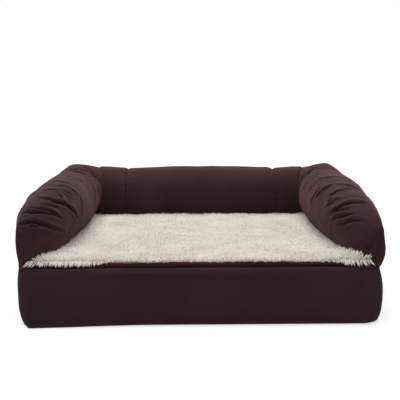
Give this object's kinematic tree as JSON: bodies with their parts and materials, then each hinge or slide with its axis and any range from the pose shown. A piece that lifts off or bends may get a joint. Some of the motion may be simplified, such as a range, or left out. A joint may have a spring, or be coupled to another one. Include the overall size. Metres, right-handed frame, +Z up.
{
  "type": "dog sofa bed",
  "caption": "Rectangular foam dog bed with a plush lying surface and a stuffed bolster round the back and both sides, in a woven cover that zips along the back.",
  "frame": {"origin": "on the floor, at the middle of the overall width and depth", "axes": "+X to the right as seen from the open front, +Y to the back, +Z up"},
  "size_m": [0.8, 0.6, 0.2709],
  "materials": {
    "cover_fabric": "woven polyester, dark brown",
    "bolster_fabric": "woven polyester, dark brown, gathered",
    "base_fabric": "woven polyester with a rubberised non-slip print",
    "binding_fabric": "folded woven binding, dark brown",
    "plush": "lambskin-look polyester pile, cream",
    "support_foam": "open-cell polyurethane foam",
    "memory_foam": "slow-recovery polyurethane foam",
    "fibre_filling": "loose polyester fibre",
    "zip_tape": "herringbone woven tape",
    "zip_coil": "moulded nylon coil",
    "zip_metal": "die-cast zinc, dark antique finish"
  },
  "bodies": {
    "bed": {"border_strip": "cover_fabric", "back_strip_upper": "cover_fabric", "back_strip_lower": "cover_fabric", "top_panel": "cover_fabric", "bottom_panel": "base_fabric", "support_foam": "support_foam", "memory_foam": "memory_foam", "plush_surface": "plush", "front_binding": "binding_fabric", "back_bolster_cover": "bolster_fabric", "left_arm_cover": "bolster_fabric", "right_arm_cover": "bolster_fabric", "back_bolster_fill": "fibre_filling", "left_arm_fill": "fibre_filling", "right_arm_fill": "fibre_filling", "zip_tape_upper": "zip_tape", "zip_tape_lower": "zip_tape", "zip_coil_upper": "zip_coil", "zip_coil_lower": "zip_coil", "zip_end_stops": "zip_metal"},
    "zip_slider": {"zip_slider": "zip_metal"},
    "zip_pull": {"zip_pull": "zip_metal"}
  },
  "joints": [
    {"name": "zip_travel", "type": "slide", "parent": "bed", "child": "zip_slider", "axis": [-1, 0, 0], "range_m": [0, 0.645]},
    {"name": "pull_swing", "type": "hinge", "parent": "zip_slider", "child": "zip_pull", "pos_m": [0.3229, 0.2915, 0.065], "axis": [0, 0, -1], "range_deg": [0, 180]}
  ]
}
